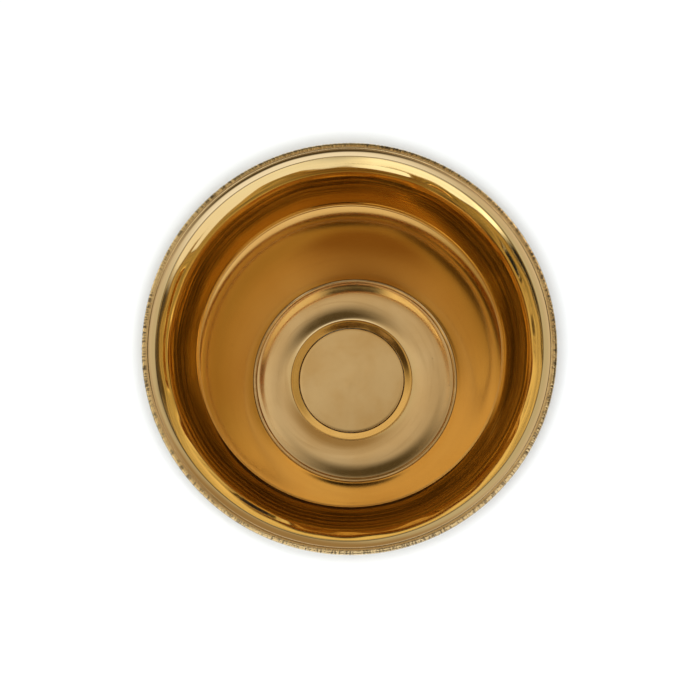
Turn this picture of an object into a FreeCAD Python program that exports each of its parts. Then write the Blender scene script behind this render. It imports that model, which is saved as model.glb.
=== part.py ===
import FreeCAD, Part
import os, math

# Deep brass bowl: nearly straight belly, narrower throat, flared neck, cut border round the lip.
# Everything is turned about +Z.  Origin: centre of the circle the foot rests on.
# Millimetres.  Profile points are (radius, height); heights are given from the top
# of the lip, so 0 is the lip and negative is down into the bowl.

# ---- driving dimensions -------------------------------------------------------
LIP_R = 125.0          # outer radius of the cut border round the lip
BORDER_W = 4.0         # radial width of the border ring
BORDER_R = LIP_R - BORDER_W   # joint between border ring and lip
LIP_H = 6.5            # height of the lip's outer face
# slope of the smooth land on the lip and of the flare, in degrees, at each radius
LAND = [(121.0, 3.0), (119.0, 16.0), (117.0, 20.0), (116.45, 24.0)]
FLARE = [(116.4, 47.5), (113.5, 48.5), (110.0, 50.5), (106.0, 60.5), (101.0, 60.0), (97.0, 60.5), (94.6, 64.5), (93.6, 78.0)]
NECK_T = 2.4           # wall of the neck
THROAT_R = 93.6        # the narrowest part, where neck and belly meet
COLLAR_OUT = 95.86     # outside of the collar that drops into the belly's mouth
BELLY_T = 2.2          # wall of the belly
# belly wall: two curves from the mouth to its widest circle, and from there to the base
BELLY_R, BELLY_Z = 106.5, -75.8
UP_1, UP_2 = (98.5, -49.8), (104.7, -58.8)
LOW_1, LOW_2 = (110.8, -127.7), (83.5, -165.6)
BASE_R = 69.2          # where the belly wall meets the filler band
BASE_Z = -190.9
PAN_RISE = 1.4         # the base pan's plateau stands this much over the base circle
PAN_T = 2.4
PAN_R = 65.0
LEDGE_IN = 62.0
RECESS_X, RECESS_Y = -2.4, 0.3   # the middle recess sits a little off centre, as made by hand
RECESS_TOP_R = 40.5
RECESS_LOW_R = 36.3
BOSS_R = 43.4
DISC_R = 35.6
DISC_DROP = 3.6        # disc's top under the plateau
DISC_T = 1.6
FOOT_H = 8.8
FOOT_IN, FOOT_OUT = 65.8, 70.5   # foot ring at its top
FOOT_BASE_OUT = 75.0
FOOT_BASE_IN = 70.8

# ---- levels that follow from them ---------------------------------------------
LEDGE_Z = BASE_Z - 2.4
UNDER_Z = BASE_Z - 4.2
HEIGHT = FOOT_H - UNDER_Z
PAN_TOP = BASE_Z + PAN_RISE
DISC_TOP = PAN_TOP - DISC_DROP
RECESS_FLOOR = DISC_TOP - DISC_T
BOSS_LOW = RECESS_FLOOR - 2.0

O = FreeCAD.Vector


def w(p):
    """profile point (r, height from the lip) to the XZ plane"""
    return O(p[0], 0.0, HEIGHT + p[1])


def bez(*pts):
    c = Part.BezierCurve()
    c.setPoles([w(p) for p in pts])
    return c.toShape()


def line(a, b):
    return Part.LineSegment(w(a), w(b)).toShape()


def path(*pts):
    return [line(pts[i], pts[i + 1]) for i in range(len(pts) - 1)]


def through(pts):
    c = Part.BSplineCurve()
    c.interpolate([w(p) for p in pts])
    return c.toShape()


def slope_at(table, r):
    for (ra, sa), (rb, sb) in zip(table, table[1:]):
        if rb <= r <= ra:
            return sa + (sb - sa) * (ra - r) / (ra - rb)
    return table[-1][1]


def fall(z0, table, n):
    """points inwards from the table's first radius, falling by its slopes"""
    r0, r1 = table[0][0], table[-1][0]
    pts = [(r0, z0)]
    for i in range(n):
        ra = r0 + (r1 - r0) * i / n
        rb = r0 + (r1 - r0) * (i + 1) / n
        z0 -= (ra - rb) * math.tan(math.radians(slope_at(table, (ra + rb) / 2)))
        pts.append((rb, z0))
    return pts


def push(pts, dist):
    """the points moved out of the bowl by dist, square to their line"""
    out = []
    for i, p in enumerate(pts):
        a, b = pts[max(0, i - 1)], pts[min(len(pts) - 1, i + 1)]
        dx, dz = b[0] - a[0], b[1] - a[1]
        n = math.hypot(dx, dz)
        out.append((p[0] - dist * dz / n, p[1] + dist * dx / n))
    return out


def cubic(p, n):
    pts = []
    for i in range(n + 1):
        t = i / n
        a, b, c, d = (1 - t) ** 3, 3 * t * (1 - t) ** 2, 3 * t * t * (1 - t), t ** 3
        pts.append(tuple(a * p[0][k] + b * p[1][k] + c * p[2][k] + d * p[3][k] for k in (0, 1)))
    return pts


def turned(edges, x=0.0, y=0.0):
    wire = Part.Wire(Part.__sortEdges__(edges))
    face = Part.Face(wire)
    solid = face.revolve(O(0, 0, 0), O(0, 0, 1), 360)
    if solid.ShapeType != "Solid":
        solid = Part.Solid(solid.Shells[0])
    if solid.Volume < 0:
        solid.reverse()
    if x or y:
        solid.translate(O(x, y, 0))
    return solid


parts = {}

# ---- rim border: ring brazed round the lip, cut all round with a graver --------
bt = -0.35
low_lip = -0.3 - LIP_H
parts["rim_border"] = turned([
    line((BORDER_R, low_lip), (BORDER_R, bt)),
    bez((BORDER_R, bt), (BORDER_R + 0.4, 0.0), (BORDER_R + 1.4, 0.0)),
    bez((BORDER_R + 1.4, 0.0), (LIP_R, -0.1), (LIP_R, -2.4)),
    line((LIP_R, -2.4), (LIP_R, -5.2)),
    bez((LIP_R, -5.2), (LIP_R, -7.2), (LIP_R - 1.8, -7.2)),
    bez((LIP_R - 1.8, -7.2), (BORDER_R + 0.6, -7.2), (BORDER_R, low_lip)),
])

# ---- neck: smooth land on the lip, flare down to the throat, short collar -------
land = fall(-0.35, LAND, 6)
flare = fall(land[-1][1] - 0.1, FLARE, 24)
fine = fall(land[-1][1] - 0.1, FLARE, 96)
ZT = flare[-1][1]                  # height of the throat
ZM = ZT - 5.5                      # inner edge of the belly's mouth
MOUTH_Z = ZM + 2.4                 # top of the belly's mouth
COLLAR_END = ZT - 8.0
outer = [p for p in push(fine, NECK_T)[::8] if p[0] < 113.2 and p[1] > ZT + 0.3][::-1]
collar_top = (COLLAR_OUT, ZT - 0.5)
outer = [p for p in outer if p[0] > COLLAR_OUT + 0.5]
top_out = outer[-1]
parts["neck"] = turned([
    through(land),
    line(land[-1], flare[0]),
    through(flare),
    bez((THROAT_R, ZT), (93.15, ZT - 1.3), (93.2, ZT - 3.6)),
    line((93.2, ZT - 3.6), (93.5, ZT - 7.0)),
    bez((93.5, ZT - 7.0), (93.6, COLLAR_END), (94.6, COLLAR_END)),
    bez((94.6, COLLAR_END), (COLLAR_OUT, COLLAR_END), (COLLAR_OUT, ZT - 6.8)),
    line((COLLAR_OUT, ZT - 6.8), collar_top),
    through([collar_top] + outer),
    bez(top_out, (top_out[0] + 2.6, top_out[1] + 2.2), (BORDER_R, low_lip)),
    line((BORDER_R, low_lip), land[0]),
])

# ---- belly: raised shell, mouth round the collar, ledge at the bottom -----------
upper = [(COLLAR_OUT, ZM), UP_1, UP_2, (BELLY_R, BELLY_Z)]
lower = [(BELLY_R, BELLY_Z), LOW_1, LOW_2, (BASE_R, BASE_Z)]
SHOULDER = (99.4, MOUTH_Z - 1.2)   # the mouth's top is a plain cone that the braze lies on
up_out = [p for p in push(cubic(upper, 40), BELLY_T)[::5] if p[1] < SHOULDER[1] - 3.0]
lo_out = [p for p in push(cubic(lower, 60), BELLY_T)[::5] if p[1] > BASE_Z + 5.0]
out_pts = up_out + lo_out[1:]
parts["belly"] = turned([
    line((COLLAR_OUT, MOUTH_Z), (COLLAR_OUT, ZM)),
    bez(*upper),
    bez(*lower),
    line((BASE_R, BASE_Z), (BASE_R, LEDGE_Z)),
    line((BASE_R, LEDGE_Z), (LEDGE_IN, LEDGE_Z)),
    line((LEDGE_IN, LEDGE_Z), (LEDGE_IN, UNDER_Z)),
    line((LEDGE_IN, UNDER_Z), (73.4, UNDER_Z)),
    bez((73.4, UNDER_Z), (74.0, UNDER_Z + 2.4), out_pts[-1]),
    through(list(reversed(out_pts)) + [SHOULDER]),
    line(SHOULDER, (COLLAR_OUT, MOUTH_Z)),
])

# ---- shoulder braze: fillet of filler in the corner of neck and belly -----------
k = (98.9 - COLLAR_OUT) / (SHOULDER[0] - COLLAR_OUT)
toe = (98.9, MOUTH_Z + (SHOULDER[1] - MOUTH_Z) * k)
parts["shoulder_braze"] = turned(path(
    (COLLAR_OUT, ZT - 0.6), (COLLAR_OUT, MOUTH_Z), toe, (97.6, MOUTH_Z + 0.9), (COLLAR_OUT, ZT - 0.6)))

# ---- base pan: dished plate on the belly's ledge, with a let-in recess ----------
rim = BASE_Z - 0.5
pan = turned([
    bez((PAN_R, rim), (62.6, rim + 0.3), (61.6, PAN_TOP - 0.7)),
    bez((61.6, PAN_TOP - 0.7), (60.6, PAN_TOP), (56.0, PAN_TOP)),
    line((56.0, PAN_TOP), (0, PAN_TOP)),
    line((0, PAN_TOP), (0, PAN_TOP - PAN_T)),
    line((0, PAN_TOP - PAN_T), (57.0, PAN_TOP - PAN_T)),
    bez((57.0, PAN_TOP - PAN_T), (59.0, LEDGE_Z), (61.0, LEDGE_Z)),
    line((61.0, LEDGE_Z), (PAN_R, LEDGE_Z)),
    line((PAN_R, LEDGE_Z), (PAN_R, rim)),
])
boss = turned([
    line((0, PAN_TOP - 1.0), (BOSS_R, PAN_TOP - 1.0)),
    line((BOSS_R, PAN_TOP - 1.0), (BOSS_R, PAN_TOP - PAN_T - 1.2)),
    bez((BOSS_R, PAN_TOP - PAN_T - 1.2), (BOSS_R - 0.4, BOSS_LOW), (40.0, BOSS_LOW)),
    line((40.0, BOSS_LOW), (0, BOSS_LOW)),
    line((0, BOSS_LOW), (0, PAN_TOP - 1.0)),
], RECESS_X, RECESS_Y)
cutter = turned([
    line((0, PAN_TOP + 5.0), (44.0, PAN_TOP + 5.0)),
    line((44.0, PAN_TOP + 5.0), (44.0, PAN_TOP)),
    bez((44.0, PAN_TOP), (41.6, PAN_TOP - 0.05), (RECESS_TOP_R, PAN_TOP - 0.6)),
    line((RECESS_TOP_R, PAN_TOP - 0.6), (RECESS_LOW_R, DISC_TOP + 0.1)),
    line((RECESS_LOW_R, DISC_TOP + 0.1), (RECESS_LOW_R, RECESS_FLOOR)),
    line((RECESS_LOW_R, RECESS_FLOOR), (0, RECESS_FLOOR)),
    line((0, RECESS_FLOOR), (0, PAN_TOP + 5.0)),
], RECESS_X, RECESS_Y)
pan = pan.fuse(boss).cut(cutter).removeSplitter()
parts["base_pan"] = pan.Solids[0] if pan.ShapeType != "Solid" else pan

# ---- base braze band: filler between belly wall and base pan --------------------
parts["base_braze_band"] = turned([
    line((PAN_R, LEDGE_Z), (BASE_R, LEDGE_Z)),
    line((BASE_R, LEDGE_Z), (BASE_R, BASE_Z - 0.2)),
    bez((BASE_R, BASE_Z - 0.2), (67.0, BASE_Z - 0.55), (PAN_R, rim)),
    line((PAN_R, rim), (PAN_R, LEDGE_Z)),
])

# ---- centre disc, soldered in the recess ----------------------------------------
parts["centre_disc"] = turned(path(
    (0, DISC_TOP), (DISC_R - 0.35, DISC_TOP), (DISC_R, DISC_TOP - 0.25),
    (DISC_R, RECESS_FLOOR), (0, RECESS_FLOOR), (0, DISC_TOP)), RECESS_X, RECESS_Y)
parts["disc_solder"] = turned(path(
    (DISC_R, DISC_TOP - 0.4), (RECESS_LOW_R, DISC_TOP - 0.25),
    (RECESS_LOW_R, RECESS_FLOOR), (DISC_R, RECESS_FLOOR), (DISC_R, DISC_TOP - 0.4)), RECESS_X, RECESS_Y)

# ---- foot ring, flared, brazed to the flat underside ----------------------------
F0 = -HEIGHT
parts["foot_ring"] = turned([
    line((FOOT_IN, UNDER_Z), (FOOT_OUT, UNDER_Z)),
    line((FOOT_OUT, UNDER_Z), (FOOT_OUT, UNDER_Z - 2.8)),
    bez((FOOT_OUT, UNDER_Z - 2.8), (FOOT_OUT, F0 + 2.6), (FOOT_BASE_OUT - 0.6, F0 + 1.9)),
    bez((FOOT_BASE_OUT - 0.6, F0 + 1.9), (FOOT_BASE_OUT + 0.3, F0 + 1.7), (FOOT_BASE_OUT, F0)),
    line((FOOT_BASE_OUT, F0), (FOOT_BASE_IN, F0)),
    bez((FOOT_BASE_IN, F0), (FOOT_IN + 0.6, F0 + 2.0), (FOOT_IN, UNDER_Z)),
])
parts["foot_braze"] = turned(path(
    (FOOT_OUT, UNDER_Z), (72.9, UNDER_Z), (71.9, UNDER_Z - 1.4), (FOOT_OUT, UNDER_Z - 2.6), (FOOT_OUT, UNDER_Z)))

os.makedirs("parts", exist_ok=True)
for name, s in parts.items():
    s.exportStep("parts/%s.step" % name)
    bb = s.BoundBox
    print("%-16s %-6s valid=%s solids=%d vol=%9.1f r=%.2f z=%.2f..%.2f" % (
        name, s.ShapeType, s.isValid(), len(s.Solids), s.Volume, bb.XMax, bb.ZMin, bb.ZMax))
print("height %.2f throat %.2f mouth %.2f" % (HEIGHT, ZT, ZM))

names = list(parts)
for i in range(len(names)):
    for j in range(i + 1, len(names)):
        v = parts[names[i]].common(parts[names[j]]).Volume
        if v > 0.01:
            print("overlap", names[i], names[j], round(v, 3))
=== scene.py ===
import math
import bpy
import numpy as np
from mathutils import Matrix, Vector


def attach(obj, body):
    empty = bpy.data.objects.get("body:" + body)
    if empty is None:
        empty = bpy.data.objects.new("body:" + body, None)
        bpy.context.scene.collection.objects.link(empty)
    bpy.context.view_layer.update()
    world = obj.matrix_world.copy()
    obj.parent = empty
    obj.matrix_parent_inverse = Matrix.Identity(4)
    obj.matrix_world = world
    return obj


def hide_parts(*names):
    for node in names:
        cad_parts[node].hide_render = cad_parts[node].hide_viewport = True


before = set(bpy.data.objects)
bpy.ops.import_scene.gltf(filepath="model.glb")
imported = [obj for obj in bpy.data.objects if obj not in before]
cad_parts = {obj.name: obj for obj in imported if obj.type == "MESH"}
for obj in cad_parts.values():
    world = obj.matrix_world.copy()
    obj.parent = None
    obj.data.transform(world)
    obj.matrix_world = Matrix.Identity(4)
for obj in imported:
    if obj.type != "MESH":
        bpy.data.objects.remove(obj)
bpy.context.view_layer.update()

H = 203.9            # height of the lip over the foot, mm; profile heights are counted down from the lip
RX, RY = -2.4, 0.3   # the middle recess sits a little off centre
TAU = 2.0 * math.pi


# ------------------------------------------------------------------ profiles (mm)
def bz(*p, n=16):
    p = np.array(p, float)
    t = np.linspace(0, 1, n)[:, None]
    if len(p) == 3:
        return (1 - t) ** 2 * p[0] + 2 * t * (1 - t) * p[1] + t * t * p[2]
    return (1 - t) ** 3 * p[0] + 3 * t * (1 - t) ** 2 * p[1] + 3 * t * t * (1 - t) * p[2] + t ** 3 * p[3]


def ln(a, b, n=2):
    t = np.linspace(0, 1, n)[:, None]
    return (1 - t) * np.array(a, float) + t * np.array(b, float)


def join(*segs):
    out = [tuple(segs[0][0])]
    for s in segs:
        for q in s:
            if math.hypot(q[0] - out[-1][0], q[1] - out[-1][1]) > 2e-3:
                out.append((float(q[0]), float(q[1])))
    return np.array(out)


def by_slope(r0, z0, tr, ts, n, extra=None):
    """go inwards from r0, falling by the slope given in degrees at each radius"""
    rs = np.linspace(r0, tr[-1], n)
    rm = (rs[1:] + rs[:-1]) / 2
    s = np.interp(rm, tr[::-1], ts[::-1])
    if extra is not None:
        s = s + extra(rm)
    z = z0 - np.concatenate([[0], np.cumsum((rs[:-1] - rs[1:]) * np.tan(np.radians(s)))])
    return np.stack([rs, z], 1)


def offset_curve(c, dist):
    d = np.gradient(c, axis=0)
    n = np.hypot(d[:, 0], d[:, 1])[:, None]
    return c + dist * np.stack([-d[:, 1], d[:, 0]], 1) / n


# ------------------------------------------------------------------ hand-made unevenness
def waves(seed, orders, amp):
    rng = np.random.RandomState(seed)
    ph = rng.uniform(0, TAU, len(orders))
    am = amp * rng.uniform(0.6, 1.3, len(orders)) / np.sqrt(np.array(orders, float))
    def f(th):
        return sum(a * np.cos(o * th + p) for o, a, p in zip(orders, am, ph))
    return f


def ripple(seed, n, amp, omax, wl):
    """gentle dents left by raising and hand polishing, as a height over angle and arc length"""
    rng = np.random.RandomState(seed)
    o = rng.randint(1, omax + 1, n)
    m = rng.uniform(-1, 1, n) * TAU / wl
    p = rng.uniform(0, TAU, n)
    a = amp * rng.uniform(0.4, 1.2, n) / math.sqrt(n)
    def f(th, s):
        out = 0.0
        for k in range(n):
            out = out + a[k] * np.cos(o[k] * th + m[k] * s + p[k])
        return out
    return f


# ------------------------------------------------------------------ lathe meshes
def lathe(name, prof, seg, field=None, cx=0.0, cy=0.0, axis_ends=False, sharp=32.0, centre=None):
    """Turns a closed profile, wound so that the metal is on its left, into a closed mesh."""
    prof = np.asarray(prof, float)
    if not axis_ends and np.hypot(*(prof[0] - prof[-1])) < 2e-3:
        prof = prof[:-1]
    n = len(prof)
    area = 0.5 * np.sum(prof[:, 0] * np.roll(prof[:, 1], -1) - np.roll(prof[:, 0], -1) * prof[:, 1])
    if area < 0:
        prof = prof[::-1]
    s = np.concatenate([[0], np.cumsum(np.hypot(*np.diff(prof, axis=0).T))])
    th = TAU * np.arange(seg) / seg
    T = np.repeat(th[:, None], n, 1)
    R = np.repeat(prof[None, :, 0], seg, 0)
    Z = np.repeat(prof[None, :, 1], seg, 0)
    S = np.repeat(s[None], seg, 0)
    if field is not None:
        R, Z = field(R, Z, T, S)
    ox, oy = (cx, cy) if centre is None else centre(R, Z)
    X = (ox + R * np.cos(T)) / 1000.0
    Y = (oy + R * np.sin(T)) / 1000.0
    Zm = (Z + H) / 1000.0
    if not axis_ends:
        co = np.stack([X, Y, Zm], -1).reshape(-1, 3)
        k = np.arange(seg)[:, None]
        k2 = (k + 1) % seg
        i = np.arange(n)[None]
        i2 = (i + 1) % n
        q = np.stack([k * n + i, k2 * n + i, k2 * n + i2, k * n + i2], -1).reshape(-1, 4)
        faces = q
        tris = np.zeros((0, 3), int)
    else:
        # first and last profile points are on the axis
        m = n - 2
        ring = np.stack([X[:, 1:-1], Y[:, 1:-1], Zm[:, 1:-1]], -1).reshape(-1, 3)
        ax, ay = (cx, cy) if centre is None else (float(np.mean(ox)) if np.ndim(ox) else ox, float(np.mean(oy)) if np.ndim(oy) else oy)
        a = np.array([[X[:, 0].mean(), Y[:, 0].mean(), Zm[:, 0].mean()]])
        b = np.array([[X[:, -1].mean(), Y[:, -1].mean(), Zm[:, -1].mean()]])
        co = np.concatenate([ring, a, b])
        k = np.arange(seg)[:, None]
        k2 = (k + 1) % seg
        i = np.arange(m - 1)[None]
        faces = np.stack([k * m + i, k2 * m + i, k2 * m + i + 1, k * m + i + 1], -1).reshape(-1, 4)
        k = k[:, 0]
        k2 = k2[:, 0]
        ia, ib = seg * m, seg * m + 1
        tris = np.concatenate([np.stack([np.full(seg, ia), k2 * m, k * m], -1),
                               np.stack([np.full(seg, ib), k * m + m - 1, k2 * m + m - 1], -1)])
    me = bpy.data.meshes.new(name)
    nf = len(faces) + len(tris)
    loops = np.concatenate([faces.ravel(), tris.ravel()])
    me.vertices.add(len(co))
    me.vertices.foreach_set("co", co.astype(np.float32).ravel())
    me.loops.add(len(loops))
    me.loops.foreach_set("vertex_index", loops.astype(np.int32))
    me.polygons.add(nf)
    starts = np.concatenate([np.arange(len(faces)) * 4, len(faces) * 4 + np.arange(len(tris)) * 3])
    me.polygons.foreach_set("loop_start", starts.astype(np.int32))
    me.polygons.foreach_set("loop_total", np.concatenate([np.full(len(faces), 4), np.full(len(tris), 3)]).astype(np.int32))
    me.update(calc_edges=True)
    me.validate()
    me.polygons.foreach_set("use_smooth", np.ones(nf, bool))
    me.set_sharp_from_angle(angle=math.radians(sharp))
    ob = bpy.data.objects.new(name, me)
    bpy.context.scene.collection.objects.link(ob)
    return ob


# ------------------------------------------------------------------ the bowl's profile
LAND_R = [121.0, 119.0, 117.0, 116.45]
LAND_S = [3.0, 16.0, 20.0, 24.0]
FLARE_R = [116.4, 113.5, 110.0, 106.0, 101.0, 97.0, 94.6, 93.6]
FLARE_S = [46.8, 49.0, 51.5, 59.0, 60.0, 60.3, 64.5, 78.0]
B1, B2, B3, B4, B5 = (99.5, -48.9), (104.6, -56.5), (107.3, -69.3), (112.9, -127.5), (88.4, -164.4)
ZB = -190.9
PL = 0.3             # rise of the base pan's plateau over the base circle

rid = np.random.RandomState(11)
R_PITCH = []
r_ = 111.6
while r_ > 94.4:
    strong = 0.05 if r_ > 109.4 else 0.40 if r_ > 107.0 else 1.0 if r_ > 101.5 else 0.45
    R_PITCH.append((r_, strong * rid.uniform(1.6, 3.6), rid.uniform(0.26, 0.50)))
    r_ -= rid.uniform(0.80, 1.45)


def ridges(r):
    """slope change of the fine turned ridges between the flare's bright band and the throat"""
    out = np.zeros_like(r)
    for rc, a, w in R_PITCH:
        u = (r - rc) / w
        out = out + a * u * np.exp(-u * u) * 1.6
    return out


land = by_slope(121.0, -0.35, np.array(LAND_R), np.array(LAND_S), 22)
flare = by_slope(116.4, land[-1, 1] - 0.10, np.array(FLARE_R), np.array(FLARE_S), 240, ridges)
plain = by_slope(116.4, land[-1, 1] - 0.10, np.array(FLARE_R), np.array(FLARE_S), 60)
ZT = flare[-1, 1]
ZM = ZT - 5.5
throat = bz((93.6, ZT), (93.15, ZT - 1.3), (93.2, ZT - 3.6), n=9)
low = bz(B3, B4, B5, (69.2, ZB), n=90)
upp = bz((95.86, ZM), B1, B2, B3, n=60)

# ------------------------------------------------------------------ pieces
PIECES = []


def add(ob, node):
    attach(ob, "root")
    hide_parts(node)
    PIECES.append(ob)
    return ob


round_lip = waves(3, [2, 3, 4, 5, 7], 0.16)       # out of round by a few tenths of a millimetre
lip_level = waves(4, [2, 3, 5, 6, 9], 0.09)


def lip_fade(Z):
    return np.clip((Z + 42.0) / 42.0, 0, 1) ** 1.5


def neck_shape(R, Z, T):
    """hand-made unevenness shared by the lip, the land and the flare, so that their joints stay closed"""
    f = lip_fade(Z)
    R = R - f * (0.28 + round_lip(T))
    Z = Z - f * (0.22 + lip_level(T))
    return R, Z


# --- neck: land, flare with turned ridges, throat and collar
edge_wave = waves(21, [3, 5, 8, 13, 19, 26], 0.10)
stripe_wave = waves(22, [2, 3, 5, 7, 11, 15], 0.26)
stripe_wave2 = waves(23, [3, 4, 6, 9, 13, 17], 0.20)
neck_rip = ripple(31, 26, 0.008, 22, 17.0)
neck_out = offset_curve(plain, 2.4)
keep = neck_out[:, 0] < 113.2
neck_out = neck_out[keep][::-1]
neck_out = neck_out[neck_out[:, 1] > ZT - 0.6]
neck_out[:, 0] = np.maximum(neck_out[:, 0], 95.86)
top_out = neck_out[-1]
neck_prof = join(
    np.array([(121.0, -6.8), (121.0, -0.62)]),
    bz((121.0, -0.62), (121.0, -0.35), (120.75, -0.36), n=5),
    land[1:], flare, throat,
    ln((93.2, ZT - 3.6), (93.5, ZT - 7.0), 4),
    bz((93.5, ZT - 7.0), (93.6, ZT - 8.0), (94.6, ZT - 8.0), n=5),
    bz((94.6, ZT - 8.0), (95.86, ZT - 8.0), (95.86, ZT - 6.8), n=5),
    ln((95.86, ZT - 6.8), tuple(neck_out[0]), 5),
    neck_out,
    bz(tuple(top_out), (top_out[0] + 2.6, top_out[1] + 2.2), (121.0, -6.8), n=10),
)


def neck_field(R, Z, T, S):
    inner = (R < 120.9) & (S > 0) & (np.abs(Z) < 60)
    # the crisp inner edge of the land wanders a little in and out
    w = np.exp(-((R - 116.4) / 3.0) ** 2)
    on_top = (Z > -1.0 - (121.0 - R) * 1.75 - 1.2)
    top = on_top & (R < 120.5)
    R = R + np.where(top, w * edge_wave(T), 0.0)
    # the turned ridges wander too, each a little differently from the next
    wz = np.clip((112.6 - R) / 1.6, 0, 1) * np.clip((R - 95.0) / 5.0, 0, 1)
    k = 0.5 + 0.5 * np.cos((R - 95.0) * 0.42)
    R = R + np.where(top, wz * (k * stripe_wave(T) + (1 - k) * stripe_wave2(T)), 0.0)
    g = np.clip((119.5 - R) / 4.0, 0, 1) * np.clip((R - 94.5) / 4.0, 0, 1)
    Z = Z + np.where(top, g * neck_rip(T, S), 0.0)
    # turned ridges run slightly out of true
    return neck_shape(R, Z, T)


neck = add(lathe("neck_shell", neck_prof, 540, neck_field, sharp=28.0), "neck")

# --- border: ring round the lip, cut all round with a graver
NB = 2160
rb = np.random.RandomState(7)
NCUT = 336
pos = (np.arange(NCUT) + rb.uniform(-0.33, 0.33, NCUT)) / NCUT * TAU
dep = rb.uniform(0.25, 1.0, NCUT) * 0.22
wid = rb.uniform(0.20, 0.36, NCUT) * TAU / NCUT
lean = rb.uniform(-0.5, 0.5, NCUT) * TAU / NCUT
inn = rb.uniform(-0.55, 0.45, NCUT)
border_prof = join(
    np.array([(121.0, -6.8), (121.0, -0.80)]),
    bz((121.0, -0.80), (121.02, -0.42), (121.35, -0.16), n=5),
    bz((121.35, -0.16), (121.9, 0.0), (122.6, 0.0), n=7),
    bz((122.6, 0.0), (125.0, -0.05), (125.0, -2.4), n=15),
    ln((125.0, -2.4), (125.0, -5.2), 6),
    bz((125.0, -5.2), (125.0, -7.2), (123.2, -7.2), n=8),
    bz((123.2, -7.2), (121.6, -7.2), (121.0, -6.8), n=5),
)


def border_field(R, Z, T, S):
    th = T[:, 0]
    cut = np.zeros_like(R)
    # u: 0 on the inner edge of the ring's top, 1 at its outermost point, 2 underneath
    u = np.clip((R - 121.0) / 4.0, 0, 1)
    u = np.where(Z < -2.6, 1.0 + np.clip((-2.6 - Z) / 3.0, 0, 1), u)
    for k in range(NCUT):
        j = int(round(pos[k] / TAU * NB))
        idx = (np.arange(j - 9, j + 10)) % NB
        uu = u[idx]
        c = pos[k] + lean[k] * (uu - 0.6)
        d = (T[idx] - c + math.pi) % TAU - math.pi
        v = np.clip(1.0 - np.abs(d) / wid[k], 0, 1)
        m = np.clip((uu - 0.30 - 0.22 * inn[k]) / 0.22, 0, 1) * np.clip((1.75 - uu) / 0.35, 0, 1)
        cut[idx] = np.maximum(cut[idx], dep[k] * v * m)
    # push the cuts in, square to the ring's round section
    cx_, cz_ = 122.2, -3.4
    dr, dz = R - cx_, (Z - cz_) * 0.75
    n = np.maximum(np.hypot(dr, dz), 1e-6)
    R = R - cut * dr / n
    Z = Z - cut * dz / n
    return neck_shape(R, Z, T)


border = add(lathe("lip_border", border_prof, NB, border_field, sharp=40.0), "rim_border")

# --- belly
belly_rip = ripple(41, 22, 0.03, 9, 60.0)
up_out = offset_curve(upp, 2.2)
lo_out = offset_curve(low, 2.2)
shoulder = (99.4, ZM + 2.4 - 1.2)
up_out = up_out[up_out[:, 1] < shoulder[1] - 3.0]
outer = np.concatenate([up_out, lo_out[1:]])
UNDER = ZB - 4.2
outer = outer[outer[:, 1] > ZB + 5.0]
belly_prof = join(
    np.array([(95.86, ZM + 2.4), (95.86, ZM)]),
    upp, low,
    np.array([(69.2, ZB), (69.2, ZB - 2.4), (62.0, ZB - 2.4), (62.0, UNDER), (73.4, UNDER)]),
    bz((73.4, UNDER), (74.0, UNDER + 2.4), tuple(outer[-1]), n=8),
    outer[::-1],
    np.array([shoulder, (95.86, ZM + 2.4)]),
)


def belly_field(R, Z, T, S):
    g = np.clip((R - 78.0) / 16.0, 0, 1) * np.clip((ZM - 6.0 - Z) / 14.0, 0, 1) * np.clip((Z - ZB - 6.0) / 20.0, 0, 1)
    R = R - g * (0.10 + belly_rip(T, Z))
    return R, Z


belly = add(lathe("belly_shell", belly_prof, 432, belly_field, sharp=30.0), "belly")

# --- shoulder braze
bz_top = neck_out[0][1] - 0.1
sb_r = 98.9
sb = (sb_r, ZM + 2.4 - 1.2 * (sb_r - 95.86) / (99.4 - 95.86))
sh_wave = waves(51, [4, 7, 11, 17, 23], 0.35)
braze_prof = join(
    np.array([(95.86, bz_top), (95.86, ZM + 2.4), sb]),
    bz(sb, (97.7, ZM + 2.4 + 0.8), (95.86, bz_top), n=9),
)


def shoulder_field(R, Z, T, S):
    f = np.clip((R - 95.9) / 2.6, 0, 1)
    return R - f * (0.3 + sh_wave(T)) * 0.8, Z


add(lathe("shoulder_fillet", braze_prof, 288, shoulder_field), "shoulder_braze")

# --- base pan with its recess, slightly off centre
PT = ZB + PL
FL = PT - 5.8           # floor of the recess
pan_rip = ripple(61, 14, 0.020, 7, 30.0)
# the plate is domed: a broad crest, falling gently to the filler band and rolling into the recess
PAN_R_ = [57.0, 60.0, 62.5, 64.5, 66.0, 66.8]
PAN_S_ = [0.0, 2.2, 4.4, 4.4, 1.8, 1.0]
rs_ = np.linspace(57.0, 66.8, 26)
fall_ = np.concatenate([[0], np.cumsum(np.diff(rs_) * np.tan(np.radians(np.interp((rs_[1:] + rs_[:-1]) / 2, PAN_R_, PAN_S_))))])
crest_out = np.stack([rs_, PT - fall_], 1)
ri_ = np.linspace(57.0, 41.2, 26)
REC_R_ = [41.2, 42.0, 43.5, 46.0, 49.0, 54.0, 57.0]
REC_S_ = [16.0, 12.0, 8.5, 5.5, 3.0, 0.9, 0.0]
fi_ = np.concatenate([[0], np.cumsum(-np.diff(ri_) * np.tan(np.radians(np.interp((ri_[1:] + ri_[:-1]) / 2, REC_R_, REC_S_))))])
crest_in = np.stack([ri_, PT - fi_], 1)
BT = crest_in[-1, 1]     # top of the bevel
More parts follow.
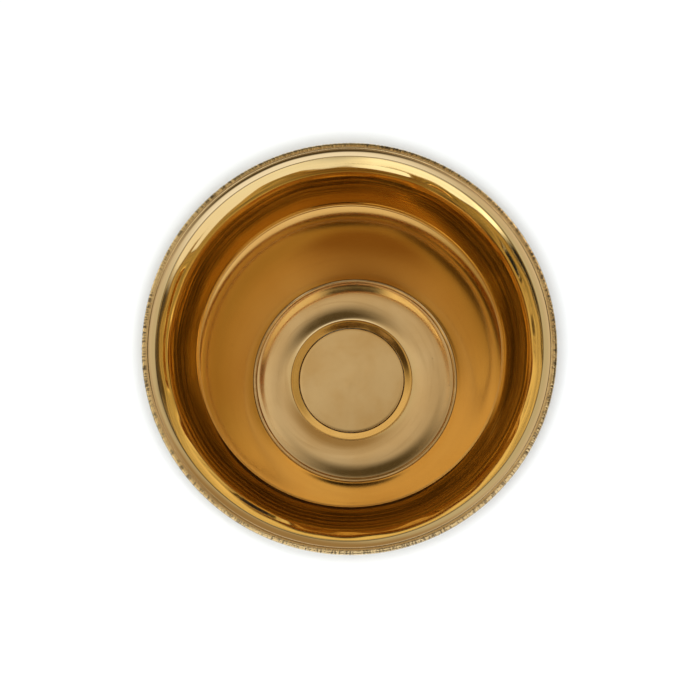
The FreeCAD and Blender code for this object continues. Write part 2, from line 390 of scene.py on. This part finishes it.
pan_prof = join(
    np.array([(0.0, FL), (36.3, FL)]),
    np.array([(36.3, FL), (36.3, PT - 4.2)]),
    bz((36.3, PT - 4.2), (36.35, PT - 4.1), (36.5, PT - 4.02), n=4),
    ln((36.5, PT - 4.02), (40.3, BT - 0.75), 6),
    bz((40.3, BT - 0.75), (40.8, BT - 0.35), (41.2, BT), n=5),
    crest_in[::-1],
    crest_out,
    np.array([(67.0, crest_out[-1, 1] - 0.2), (67.0, ZB - 2.4), (61.0, ZB - 2.4)]),
    bz((61.0, ZB - 2.4), (59.0, ZB - 2.4), (57.0, PT - 2.4), n=6),
    ln((57.0, PT - 2.4), (43.4, PT - 2.4), 4),
    np.array([(43.4, PT - 3.6)]),
    bz((43.4, PT - 3.6), (43.0, FL - 2.0), (40.0, FL - 2.0), n=6),
    ln((40.0, FL - 2.0), (0.0, FL - 2.0), 6),
)


def pan_centre(R, Z):
    t = np.clip((58.0 - R) / 14.0, 0, 1)
    t = t * t * (3 - 2 * t)
    return RX * t, RY * t


def pan_field(R, Z, T, S):
    g = np.clip((62.0 - R) / 6.0, 0, 1) * np.clip((R - 42.0) / 5.0, 0, 1) * (Z > PT - 1.0)
    Z = Z - g * (0.02 + pan_rip(T, S))
    return R, Z


add(lathe("base_dish", pan_prof, 360, pan_field, axis_ends=True, centre=pan_centre, sharp=30.0), "base_pan")

# --- filler band between belly and pan
bb_wave = waves(71, [3, 5, 9, 14, 21], 0.10)
band_prof = join(
    np.array([(67.0, ZB - 2.4), (69.2, ZB - 2.4), (69.2, ZB - 0.25)]),
    bz((69.2, ZB - 0.25), (68.1, ZB - 0.42), (67.2, crest_out[-1, 1] - 0.06), n=9),
    np.array([(67.0, crest_out[-1, 1] - 0.22), (67.0, ZB - 2.4)]),
)


def band_field(R, Z, T, S):
    top = Z > ZB - 1.0
    m = np.clip((R - 67.05) / 0.6, 0, 1) * np.clip((69.15 - R) / 0.6, 0, 1)
    return R, Z + np.where(top, -m * (0.03 + 0.5 * bb_wave(T)), 0.0)


add(lathe("base_filler_band", band_prof, 360, band_field), "base_braze_band")

# --- centre disc and its solder line
DT = PT - 4.2
disc_rip = ripple(81, 16, 0.010, 6, 22.0)
disc_prof = join(
    ln((0.0, DT), (35.2, DT), 24),
    bz((35.2, DT), (35.5, DT), (35.6, DT - 0.22), n=5),
    np.array([(35.6, DT - 0.22), (35.6, FL), (0.0, FL)]),
)


def disc_field(R, Z, T, S):
    g = (Z > DT - 0.05) * np.clip((35.0 - R) / 8.0, 0, 1) * np.clip(R / 6.0, 0, 1)
    return R, Z - g * (0.012 + disc_rip(T, R))


add(lathe("centre_disc_plate", disc_prof, 240, disc_field, RX, RY, axis_ends=True), "centre_disc")
sol_prof = join(
    np.array([(35.6, DT - 0.55), (35.6, FL), (36.3, FL), (36.3, DT - 0.40)]),
    bz((36.3, DT - 0.40), (35.95, DT - 0.62), (35.6, DT - 0.55), n=5),
)
add(lathe("disc_solder_line", sol_prof, 240, None, RX, RY), "disc_solder")

# --- foot ring and its filler
F0 = -H
foot_prof = join(
    np.array([(65.8, UNDER), (65.8, UNDER), (70.5, UNDER), (70.5, UNDER - 2.8)]),
    bz((70.5, UNDER - 2.8), (70.5, F0 + 2.6), (74.4, F0 + 1.9), n=12),
    bz((74.4, F0 + 1.9), (75.25, F0 + 1.7), (74.95, F0 + 0.25), n=8),
    bz((74.95, F0 + 0.25), (74.85, F0), (74.5, F0), n=4),
    ln((74.5, F0), (71.2, F0), 3),
    bz((71.2, F0), (70.8, F0), (70.4, F0 + 0.3), n=4),
    bz((70.4, F0 + 0.3), (66.5, F0 + 2.4), (65.8, UNDER), n=10),
)
foot_wave = waves(91, [2, 3, 5, 8], 0.06)


def foot_field(R, Z, T, S):
    f = np.clip((UNDER - 0.5 - Z) / 4.0, 0, 1)
    return R - f * (0.1 + foot_wave(T)), Z


add(lathe("foot", foot_prof, 300, foot_field), "foot_ring")
ff_prof = join(
    np.array([(70.5, UNDER - 2.5), (70.5, UNDER), (72.9, UNDER)]),
    bz((72.9, UNDER), (71.8, UNDER - 1.3), (70.5, UNDER - 2.5), n=8),
)
add(lathe("foot_fillet", ff_prof, 288, None), "foot_braze")


# ------------------------------------------------------------------ brass
def brass(name, base, rough, turned=0.5, cloud=0.5, specks=0.5, tarnish=0.0, dark=(0.10, 0.065, 0.03), cx=0.0, cy=0.0,
          bump=1.0, grain=1.0, relief=0.0006, recess=False, stripes=None, seams_and_painted_dark_lines=(), pale=None):
    """Polished brass, worked out in object space: turning lines round the axis, soft patina clouds,
    small pits, hazy roughness, and tarnish that darkens and dulls."""
    m = bpy.data.materials.new(name)
    m.use_nodes = True
    nt = m.node_tree
    nt.nodes.clear()
    N, L = nt.nodes.new, nt.links.new
    out = N("ShaderNodeOutputMaterial")
    bs = N("ShaderNodeBsdfPrincipled")
    L(bs.outputs[0], out.inputs["Surface"])
    bs.inputs["Metallic"].default_value = 1.0

    def mth(op, a, b=None, c=None, clamp=False):
        n = N("ShaderNodeMath")
        n.operation = op
        n.use_clamp = clamp
        for i, v in enumerate((a, b, c)):
            if v is None:
                continue
            if isinstance(v, (int, float)):
                n.inputs[i].default_value = v
            else:
                L(v, n.inputs[i])
        return n.outputs[0]

    def rng(v, lo, hi, a=0.0, b=1.0, smooth=False):
        n = N("ShaderNodeMapRange")
        n.clamp = True
        if smooth:
            n.interpolation_type = "SMOOTHSTEP"
        L(v, n.inputs["Value"])
        n.inputs["From Min"].default_value = lo
        n.inputs["From Max"].default_value = hi
        n.inputs["To Min"].default_value = a
        n.inputs["To Max"].default_value = b
        return n.outputs["Result"]

    def mix(f, a, b):
        n = N("ShaderNodeMix")
        n.data_type = "RGBA"
        if isinstance(f, (int, float)):
            n.inputs["Factor"].default_value = f
        else:
            L(f, n.inputs["Factor"])
        for k, v in (("A", a), ("B", b)):
            if isinstance(v, (tuple, list)):
                n.inputs[k].default_value = (*v, 1.0)
            else:
                L(v, n.inputs[k])
        return n.outputs["Result"]

    def noise(vec, scale, detail=2.0, rgh=0.5, dist=0.0):
        n = N("ShaderNodeTexNoise")
        L(vec, n.inputs["Vector"])
        n.inputs["Scale"].default_value = scale
        n.inputs["Detail"].default_value = detail
        n.inputs["Roughness"].default_value = rgh
        n.inputs["Distortion"].default_value = dist
        return n.outputs["Fac"]

    tc = N("ShaderNodeTexCoord")
    P = tc.outputs["Object"]
    sx = N("ShaderNodeSeparateXYZ")
    L(P, sx.inputs[0])
    x = mth("SUBTRACT", sx.outputs[0], cx / 1000.0)
    y = mth("SUBTRACT", sx.outputs[1], cy / 1000.0)
    z = sx.outputs[2]
    r = mth("SQRT", mth("ADD", mth("MULTIPLY", x, x), mth("MULTIPLY", y, y)))
    ux = mth("DIVIDE", x, mth("MAXIMUM", r, 0.0005))
    uy = mth("DIVIDE", y, mth("MAXIMUM", r, 0.0005))
    # turning lines: fast across the wall, slow round the axis
    cv = N("ShaderNodeCombineXYZ")
    L(mth("ADD", mth("MULTIPLY", r, 1500.0), mth("MULTIPLY", ux, 0.9)), cv.inputs[0])
    L(mth("ADD", mth("MULTIPLY", z, 1500.0), mth("MULTIPLY", uy, 0.9)), cv.inputs[1])
    cv.inputs[2].default_value = 3.0
    lines = noise(cv.outputs[0], 1.0, 3.0, 0.62)
    cv2 = N("ShaderNodeCombineXYZ")
    L(mth("ADD", mth("MULTIPLY", r, 380.0), mth("MULTIPLY", ux, 1.6)), cv2.inputs[0])
    L(mth("ADD", mth("MULTIPLY", z, 380.0), mth("MULTIPLY", uy, 1.6)), cv2.inputs[1])
    cv2.inputs[2].default_value = 11.0
    bands = noise(cv2.outputs[0], 1.0, 2.0, 0.5)
    # clouds and haze
    clouds = noise(P, 26.0, 4.0, 0.55, 0.4)
    fine = noise(P, 190.0, 3.0, 0.6)
    micro = noise(P, 1400.0, 2.0, 0.6)
    # pits
    vor = N("ShaderNodeTexVoronoi")
    vor.feature = "F1"
    L(P, vor.inputs["Vector"])
    vor.inputs["Scale"].default_value = 170.0
    vor.inputs["Randomness"].default_value = 1.0
    sc = N("ShaderNodeSeparateColor")
    L(vor.outputs["Color"], sc.inputs[0])
    size = rng(sc.outputs[0], 1.0 - 0.10 * specks, 1.0, 0.0, 0.085)
    pit = mth("MULTIPLY", rng(mth("SUBTRACT", size, vor.outputs["Distance"]), 0.0, 0.03, 0.0, 1.0), 1.0)
    # colour
    b2 = tuple(v * k for v, k in zip(base, (0.96, 0.90, 0.80)))
    b3 = tuple(min(1.0, v * k) for v, k in zip(base, (1.01, 1.02, 1.05)))
    col = mix(rng(clouds, 0.35, 0.70, 0.0, cloud, True), b3, b2)
    col = mix(rng(bands, 0.50, 0.72, 0.0, 0.28 * turned, True), col, tuple(v * 0.86 for v in b2))
    if tarnish > 0.0:
        tn = mth("MULTIPLY", rng(mth("ADD", clouds, mth("MULTIPLY", fine, 0.8)), 0.78, 1.06, 0.0, 1.0, True), tarnish, clamp=True)
        col = mix(tn, col, dark)
    if recess:
        # dirt that stays in the cut recesses
        geo = N("ShaderNodeNewGeometry")
        pt = geo.outputs["Pointiness"]
        rec = rng(pt, 0.46, 0.505, 1.0, 0.0, True)
        col = mix(mth("MULTIPLY", rec, 0.85), col, dark)
    # a pale line at the given radius: a painted highlight along a crisp edge
    if pale is not None:
        rp, tone = pale
        col = mix(rng(r, (rp - 0.2) / 1000.0, (rp + 0.2) / 1000.0, 0.0, 0.85, True), col, tone)
    if recess:
        # dirt in the graver cuts: short dark strokes across the outer part of the ring
        ct = N("ShaderNodeCombineXYZ")
        L(mth("MULTIPLY", ux, 92.0), ct.inputs[0])
        L(mth("MULTIPLY", uy, 92.0), ct.inputs[1])
        L(mth("MULTIPLY", r, 160.0), ct.inputs[2])
        stroke = noise(ct.outputs[0], 1.0, 2.0, 0.6)
        patch = noise(P, 38.0, 2.0, 0.5)
        tz = mth("MULTIPLY", rng(r, 0.1216, 0.1232, 0.0, 1.0, True), rng(patch, 0.30, 0.62, 0.55, 1.0, True))
        col = mix(mth("MULTIPLY", mth("MULTIPLY", rng(stroke, 0.47, 0.60, 0.0, 1.0, True), tz), 0.85), col, dark)
    if stripes is not None:
        # dark brown stripes painted across the ridge zone, wandering a little round the neck
        r0, r1, amount = stripes
        cs = N("ShaderNodeCombineXYZ")
        L(mth("MULTIPLY", ux, 1.7), cs.inputs[0])
        L(mth("MULTIPLY", uy, 1.7), cs.inputs[1])
        cs.inputs[2].default_value = 5.0
        wob = noise(cs.outputs[0], 1.6, 2.0, 0.5)
        cw = N("ShaderNodeCombineXYZ")
        L(mth("ADD", mth("MULTIPLY", r, 1050.0), mth("MULTIPLY", wob, 3.0)), cw.inputs[0])
        L(mth("MULTIPLY", ux, 0.55), cw.inputs[1])
        L(mth("MULTIPLY", uy, 0.55), cw.inputs[2])
        st = noise(cw.outputs[0], 1.0, 3.0, 0.6)
        zone = mth("MULTIPLY", rng(r, r0 / 1000.0, (r0 + 3.0) / 1000.0, 0.0, 1.0, True), rng(r, (r1 - 2.0) / 1000.0, r1 / 1000.0, 1.0, 0.0, True))
        fac = mth("MULTIPLY", mth("MULTIPLY", rng(st, 0.46, 0.58, 0.0, 1.0, True), zone), amount)
        col = mix(fac, col, tuple(v * 0.42 for v in base))
    # dark lines at the given radii: where parts join they are dark seams; elsewhere they are painted shade and
    # painted dark reflection along crisp edges
    for rk, hw, amount in seams_and_painted_dark_lines:
        d = mth("ABSOLUTE", mth("SUBTRACT", mth("ADD", r, mth("MULTIPLY", mth("SUBTRACT", clouds, 0.5), 0.0006)), rk / 1000.0))
        col = mix(mth("MULTIPLY", rng(d, 0.2 * hw / 1000.0, hw / 1000.0, 1.0, 0.0, True), amount), col, dark)
    col = mix(mth("MULTIPLY", pit, 0.8), col, dark)
    L(col, bs.inputs["Base Color"])
    # roughness
    rg = mth("ADD", rng(clouds, 0.30, 0.75, rough * 0.85, rough * 1.35), mth("MULTIPLY", mth("SUBTRACT", fine, 0.5), rough * 0.5))
    rg = mth("ADD", rg, mth("MULTIPLY", rng(bands, 0.5, 0.75, 0.0, 1.0), 0.05 * turned))
    if tarnish > 0.0:
        rg = mth("ADD", rg, mth("MULTIPLY", tn, 0.25))
    rg = mth("ADD", rg, mth("MULTIPLY", pit, 0.3), clamp=True)
    L(rg, bs.inputs["Roughness"])
    # relief
    h = mth("ADD", mth("MULTIPLY", lines, 0.9 * turned), mth("MULTIPLY", bands, 1.2 * turned))
    h = mth("ADD", h, mth("MULTIPLY", micro, 0.22 * grain))
    h = mth("SUBTRACT", h, mth("MULTIPLY", pit, 3.0))
    bp = N("ShaderNodeBump")
    bp.inputs["Strength"].default_value = 0.35 * bump
    bp.inputs["Distance"].default_value = relief / 1000.0
    L(h, bp.inputs["Height"])
    L(bp.outputs[0], bs.inputs["Normal"])
    return m


GOLD = (0.875, 0.648, 0.272)
MATS = {
    # lip border: the dark line at r 125 round the ring's outer edge is a painted dark reflection
    "lip_border": brass("brass_border", (0.83, 0.605, 0.285), 0.17, turned=0.2, cloud=0.6, specks=1.0, tarnish=0.12,
                        dark=(0.085, 0.055, 0.030), bump=1.2, grain=1.4, relief=0.012, recess=True, seams_and_painted_dark_lines=[(125.0, 1.0, 0.6)]),
    # neck: the dark line at r 116.45 is painted shade and the pale line at r 116.6 a painted highlight along the
    # land's crisp inner edge; the dark line at r 120.8 is the seam to the lip border
    "neck_shell": brass("brass_neck", GOLD, 0.05, turned=0.8, cloud=0.35, specks=0.8, grain=0.25, stripes=(97.0, 111.4, 0.85),
                        dark=(0.12, 0.08, 0.035), seams_and_painted_dark_lines=[(116.45, 0.35, 0.75), (120.8, 0.25, 0.5)], pale=(116.6, (0.89, 0.68, 0.37))),
    "belly_shell": brass("brass_belly", (0.825, 0.632, 0.318), 0.07, turned=0.6, cloud=0.35, specks=0.7, grain=0.5, seams_and_painted_dark_lines=[(69.5, 0.45, 0.6)]),
    "shoulder_fillet": brass("brass_fillet", (0.66, 0.52, 0.30), 0.34, turned=0.1, cloud=0.8, specks=1.0, tarnish=0.5, bump=2.0, grain=2.0, relief=0.04),
    # base dish: the dark line at r 41.2 is painted shade along the top edge of the bevel into the recess
    "base_dish": brass("brass_dish", (0.87, 0.635, 0.30), 0.10, turned=0.9, cloud=0.6, specks=0.7, cx=RX, cy=RY, grain=0.6,
                       dark=(0.16, 0.11, 0.05), seams_and_painted_dark_lines=[(41.2, 0.30, 0.5)]),
    "base_filler_band": brass("brass_band", (0.84, 0.60, 0.28), 0.16, turned=0.4, cloud=0.8, specks=1.0, tarnish=0.15,
                              dark=(0.20, 0.13, 0.06), seams_and_painted_dark_lines=[(67.05, 0.35, 0.7), (69.2, 0.35, 0.6)]),
    "centre_disc_plate": brass("brass_disc", (0.87, 0.635, 0.29), 0.12, turned=0.15, cloud=1.0, specks=0.7, cx=RX, cy=RY, grain=1.0),
    "disc_solder_line": brass("solder", (0.30, 0.24, 0.15), 0.45, turned=0.1, cloud=0.8, specks=1.0, tarnish=0.6, grain=2.0),
    "foot": brass("brass_foot", (0.82, 0.59, 0.26), 0.20, turned=0.8, cloud=0.7, specks=1.0, tarnish=0.2),
    "foot_fillet": brass("brass_foot_fillet", (0.62, 0.49, 0.29), 0.36, turned=0.1, cloud=0.8, specks=1.0, tarnish=0.5, bump=2.0, grain=2.0, relief=0.04),
}
for ob in PIECES:
    ob.data.materials.clear()
    ob.data.materials.append(MATS[ob.name])

# ------------------------------------------------------------------ floor
def pale(name, col, rough):
    m = bpy.data.materials.new(name)
    m.use_nodes = True
    b = m.node_tree.nodes["Principled BSDF"]
    b.inputs["Base Color"].default_value = (*col, 1)
    b.inputs["Roughness"].default_value = rough
    b.inputs["Specular IOR Level"].default_value = 0.2
    return m


fm = bpy.data.meshes.new("floor")
S_ = 6.0
fm.from_pydata([(-S_, -S_, 0), (S_, -S_, 0), (S_, S_, 0), (-S_, S_, 0)], [], [(0, 1, 2, 3)])
floor = bpy.data.objects.new("floor", fm)
bpy.context.scene.collection.objects.link(floor)
fm.materials.append(pale("pale_floor", (0.88, 0.93, 0.97), 0.8))

# ------------------------------------------------------------------ light
w = bpy.data.worlds.new("studio")
bpy.context.scene.world = w
w.use_nodes = True
nt = w.node_tree
nt.nodes.clear()
N, L = nt.nodes.new, nt.links.new
wo = N("ShaderNodeOutputWorld")
bg = N("ShaderNodeBackground")
tc = N("ShaderNodeTexCoord")
sep = N("ShaderNodeSeparateXYZ")
L(tc.outputs["Generated"], sep.inputs[0])


def wm(op, a, b=None):
    n = N("ShaderNodeMath")
    n.operation = op
    for i, v in enumerate((a, b)):
        if v is None:
            continue
        if isinstance(v, (int, float)):
            n.inputs[i].default_value = v
        else:
            L(v, n.inputs[i])
    return n.outputs[0]


def wr(v, lo, hi):
    n = N("ShaderNodeMapRange")
    n.interpolation_type = "SMOOTHSTEP"
    L(v, n.inputs["Value"])
    n.inputs["From Min"].default_value = lo
    n.inputs["From Max"].default_value = hi
    return n.outputs["Result"]


def wx(f, a, b):
    n = N("ShaderNodeMix")
    n.data_type = "RGBA"
    L(f, n.inputs["Factor"])
    for k, v in (("A", a), ("B", b)):
        if isinstance(v, tuple):
            n.inputs[k].default_value = (*v, 1)
        else:
            L(v, n.inputs[k])
    return n.outputs["Result"]


def wdot(v, d):
    n = N("ShaderNodeVectorMath")
    n.operation = "DOT_PRODUCT"
    L(v, n.inputs[0])
    n.inputs[1].default_value = d
    return n.outputs["Value"]


def card(c, az, zen, rad, soft, col):
    """soft round card or gap in the surroundings; az 0 is right, 90 back, 180 left, 270 front; zen is the angle off straight up"""
    a, z = math.radians(az), math.radians(zen)
    d = wdot(tc.outputs["Generated"], (math.sin(z) * math.cos(a), math.sin(z) * math.sin(a), math.cos(z)))
    ang = wm("MULTIPLY", wm("ARCCOSINE", wm("MINIMUM", wm("MAXIMUM", d, -1.0), 1.0)), 180 / math.pi)
    s = wm("SUBTRACT", 1.0, wr(ang, rad - soft, rad + soft))
    return wx(s, c, col)


X, Y, Z = sep.outputs
off = wm("MULTIPLY", wm("ARCCOSINE", wm("MINIMUM", wm("MAXIMUM", Z, -1.0), 1.0)), 180 / math.pi)
c = wx(wr(off, 0.0, 45.0), (0.69, 0.61, 0.54), (0.54, 0.51, 0.41))      # dim warm ceiling
c = wx(wr(off, 45.0, 90.0), c, (0.96, 0.92, 0.96))                      # brighter low down
c = card(c, 287, 52, 40, 11, (0.98, 1.00, 1.10))                        # large cool window at the front
c = card(c, 78, 26, 16, 7, (0.34, 0.24, 0.13))                          # dim patch at the back
c = card(c, 193, 92, 32, 6, (1.90, 1.87, 1.80))                         # soft light low on the left
c = card(c, 190, 92, 21, 6, (0.02, 0.02, 0.02))                         # gap in it
c = card(c, 26, 79, 42, 6, (0.09, 0.07, 0.05))                          # dark right-hand side
c = card(c, 244, 78, 23, 6, (1.25, 1.28, 1.35))                         # window, front left
c = card(c, 287, 7, 10, 5, (0.08, 0.06, 0.03))                          # camera and the person behind it
c = card(c, 38, 75, 16, 6, (1.90, 1.66, 1.50))                          # warm lamp, back right
c = card(c, 272, 65, 17, 6, (0.03, 0.03, 0.03))                         # the person's body
c = card(c, 90, 88, 38, 6, (0.03, 0.02, 0.02))                          # dark back wall, low
L(c, bg.inputs["Color"])
L(bg.outputs[0], wo.inputs[0])


def soft_box(name, loc, size, energy, glossy):
    la = bpy.data.lights.new(name, "AREA")
    la.shape = "RECTANGLE"
    la.size, la.size_y = size
    la.energy = energy
    o = bpy.data.objects.new(name, la)
    bpy.context.scene.collection.objects.link(o)
    o.location = loc
    o.rotation_euler = (Vector((0, 0, 0.05)) - Vector(loc)).to_track_quat("-Z", "Y").to_euler()
    o.visible_glossy = glossy
    o.visible_camera = False
    return o


soft_box("key", (0.025, -0.143, 1.395), (0.09, 0.09), 14.5, False)

# ------------------------------------------------------------------ camera
D, ELEV, AZ = 1.37, 83.05, 10.0
e_, a_ = math.radians(ELEV), math.radians(AZ)
back_v = Vector((math.sin(a_) * math.cos(e_), -math.cos(a_) * math.cos(e_), math.sin(e_)))
fw = -back_v
right = fw.cross(Vector((0, 1, 0))).normalized()
up = right.cross(fw)
cam = bpy.data.cameras.new("camera")
co = bpy.data.objects.new("camera", cam)
bpy.context.scene.collection.objects.link(co)
rot = Matrix((right, up, back_v)).transposed()
co.matrix_world = Matrix.Translation(Vector((0, 0, H / 1000.0)) + back_v * D + right * 0.00062 - up * 0.00216) @ rot.to_4x4()
cam.sensor_width = 36.0
cam.lens = 117.53
cam.clip_end = 50.0
bpy.context.scene.camera = co

bpy.context.scene.view_settings.view_transform = "Standard"
bpy.context.scene.view_settings.look = "None"
bpy.context.scene.cycles.max_bounces = 16
bpy.context.scene.cycles.glossy_bounces = 12
bpy.context.scene.cycles.diffuse_bounces = 4
